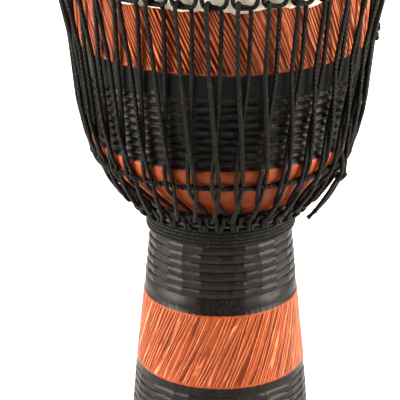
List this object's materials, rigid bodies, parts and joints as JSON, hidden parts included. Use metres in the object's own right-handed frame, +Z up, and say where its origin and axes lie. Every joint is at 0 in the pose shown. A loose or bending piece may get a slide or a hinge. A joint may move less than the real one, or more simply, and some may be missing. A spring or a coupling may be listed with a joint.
{
  "type": "djembe",
  "caption": "Goblet-shaped hand drum with a carved, painted shell, a goatskin head on rope-tuned rings and spare rope round its neck.",
  "frame": {"origin": "centre of the flat ring that the foot stands on", "axes": "+Z up along the drum's axis to the head; -Y is the front, and the two free rope ends hang at +X"},
  "size_m": [0.34, 0.34, 0.61],
  "materials": {
    "shell_wood": "satin",
    "goatskin": "matte",
    "ring_steel": "satin",
    "rope": "matte"
  },
  "bodies": {
    "drum": {"bowl": "shell_wood", "stem": "shell_wood", "goatskin_head": "goatskin", "bottom_ring": "ring_steel", "bottom_loops": "rope", "lacing_rope": "rope", "weave_row": "rope", "neck_wrap": "rope", "free_end_front": "rope", "free_end_back": "rope", "free_end_hitch": "rope", "end_knot": "rope"},
    "tension_rings": {"flesh_ring": "ring_steel", "crown_ring": "ring_steel", "crown_loops": "rope"}
  },
  "joints": [
    {"name": "head_tuning", "type": "slide", "parent": "drum", "child": "tension_rings", "axis": [0, 0, -1], "range_m": [0, 0.005], "deforming": ["lacing_rope"]}
  ]
}
